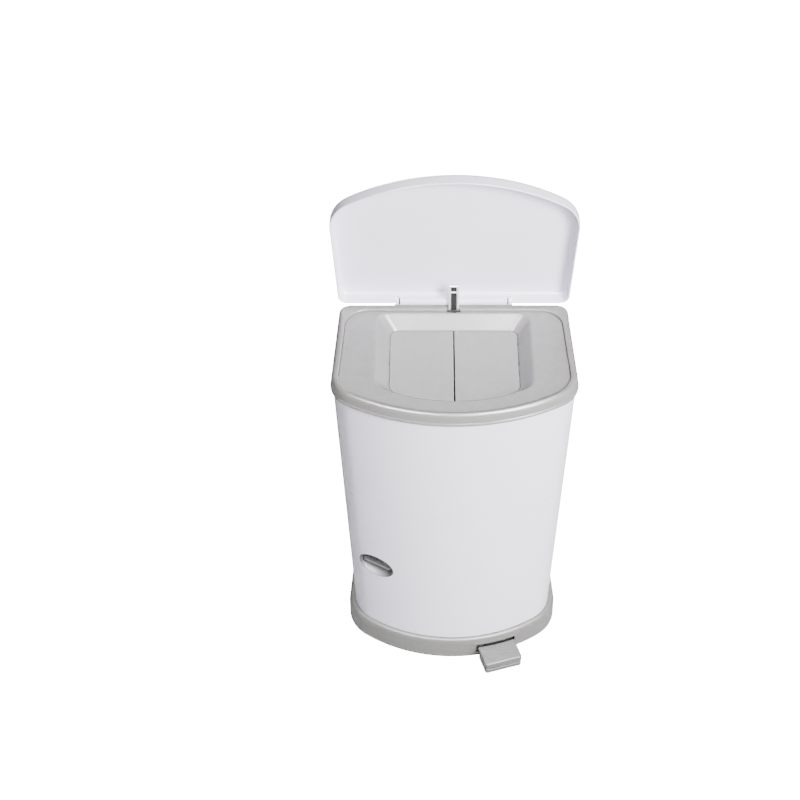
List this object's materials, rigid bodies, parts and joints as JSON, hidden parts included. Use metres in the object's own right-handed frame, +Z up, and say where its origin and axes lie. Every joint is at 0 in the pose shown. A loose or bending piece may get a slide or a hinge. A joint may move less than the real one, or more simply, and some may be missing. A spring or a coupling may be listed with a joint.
{
  "type": "nappy bin",
  "caption": "Free-standing pedal nappy bin, D-shaped in plan, with rear-hinged lid, sprung trap flaps, liner cassette and a hinged front door.",
  "frame": {"origin": "on the floor, under the middle of the bin's width and depth", "axes": "+X to the right seen from the front, -Y to the front, +Z up"},
  "size_m": [0.3498, 0.2899, 0.7638],
  "materials": {
    "white_shell": "moulded white plastic, satin gloss",
    "deck_grey": "moulded warm light grey plastic, fine matt texture",
    "base_grey": "moulded warm grey plastic",
    "dark_grey": "grey plastic of the grip and cutter",
    "inner_white": "natural white plastic of the inner pieces",
    "cassette_blue": "pale blue-white plastic of the liner cassette",
    "film": "folded liner film",
    "rubber": "dark rubber feet",
    "chrome": "bright plated steel",
    "steel": "plain steel"
  },
  "bodies": {
    "bin": {"base_ring": "base_grey", "base_cover": "base_grey", "foot_band": "rubber", "base_screws": "steel", "pedal_bracket": "steel", "pedal_pin": "steel", "rod_guides": "inner_white", "rod_cover": "white_shell", "body_shell": "white_shell", "door_hinge_pins": "steel", "door_keeper": "steel", "deck_rim": "deck_grey", "liner_shelf": "inner_white", "cutter_rail": "inner_white", "lid_hinge_pins": "steel", "hinge_mount": "white_shell", "hinge_screws": "steel"},
    "lid": {"lid_shell": "white_shell", "lid_hinge_barrel": "white_shell"},
    "lifter": {"lift_rod": "steel", "lid_lifter": "chrome"},
    "pedal": {"pedal_lever": "steel", "pedal_pad": "base_grey", "pedal_plate": "base_grey"},
    "door": {"front_door": "white_shell", "door_grip_cup": "dark_grey", "door_catch": "dark_grey"},
    "latch_paddle": {"door_latch_paddle": "dark_grey"},
    "hopper": {"hopper_deck": "deck_grey", "chute": "inner_white", "flap_pins": "steel", "flap_springs": "steel"},
    "flap_left": {"left_flap": "deck_grey"},
    "flap_right": {"right_flap": "deck_grey"},
    "cassette": {"cassette_tray": "cassette_blue", "cassette_film": "film", "cassette_cover": "cassette_blue"},
    "cutter": {"cutter_slider": "dark_grey", "cutter_blade": "steel"}
  },
  "joints": [
    {"name": "lid_hinge", "type": "hinge", "parent": "bin", "child": "lid", "pos_m": [0, 0.1193, 0.5263], "axis": [-1, 0, 0], "range_deg": [-83, 0]},
    {"name": "lifter_slide", "type": "slide", "parent": "bin", "child": "lifter", "axis": [0, 0, 1], "range_m": [-0.026, 0]},
    {"name": "pedal_pivot", "type": "hinge", "parent": "bin", "child": "pedal", "pos_m": [0.0618, -0.08761, 0.014], "axis": [0.9537, 0.3007, 0], "range_deg": [-7.3, 0]},
    {"name": "door_hinge", "type": "hinge", "parent": "bin", "child": "door", "pos_m": [0.14549, 0.01, 0.0408], "axis": [0.0425, 0, 0.9991], "range_deg": [0, 90]},
    {"name": "latch_paddle_pivot", "type": "hinge", "parent": "door", "child": "latch_paddle", "pos_m": [-0.11187, -0.07359, 0.174], "axis": [0.8585, -0.5127, 0], "range_deg": [-25, 0], "stiffness_Nm_per_rad": 0.02, "springref_deg": 34.38},
    {"name": "hopper_lift", "type": "slide", "parent": "bin", "child": "hopper", "axis": [0, 0, 1], "range_m": [0, 0.055]},
    {"name": "left_flap_hinge", "type": "hinge", "parent": "hopper", "child": "flap_left", "pos_m": [-0.0952, 0.009, 0.4944], "axis": [0, 1, 0], "range_deg": [0, 80], "stiffness_Nm_per_rad": 0.03, "springref_deg": -68.75},
    {"name": "right_flap_hinge", "type": "hinge", "parent": "hopper", "child": "flap_right", "pos_m": [0.0952, 0.009, 0.4944], "axis": [0, -1, 0], "range_deg": [0, 80], "stiffness_Nm_per_rad": 0.03, "springref_deg": -68.75},
    {"name": "cassette_lift", "type": "slide", "parent": "bin", "child": "cassette", "axis": [0, 0, 1], "range_m": [0, 0.03]},
    {"name": "cutter_slide", "type": "slide", "parent": "bin", "child": "cutter", "axis": [1, 0, 0], "range_m": [-0.055, 0.055]}
  ],
  "couplings": [
    {"joint": "lifter_slide", "follows": "lid_hinge", "m_per_rad": 0.017948},
    {"joint": "pedal_pivot", "follows": "lid_hinge", "ratio": 0.087951}
  ]
}
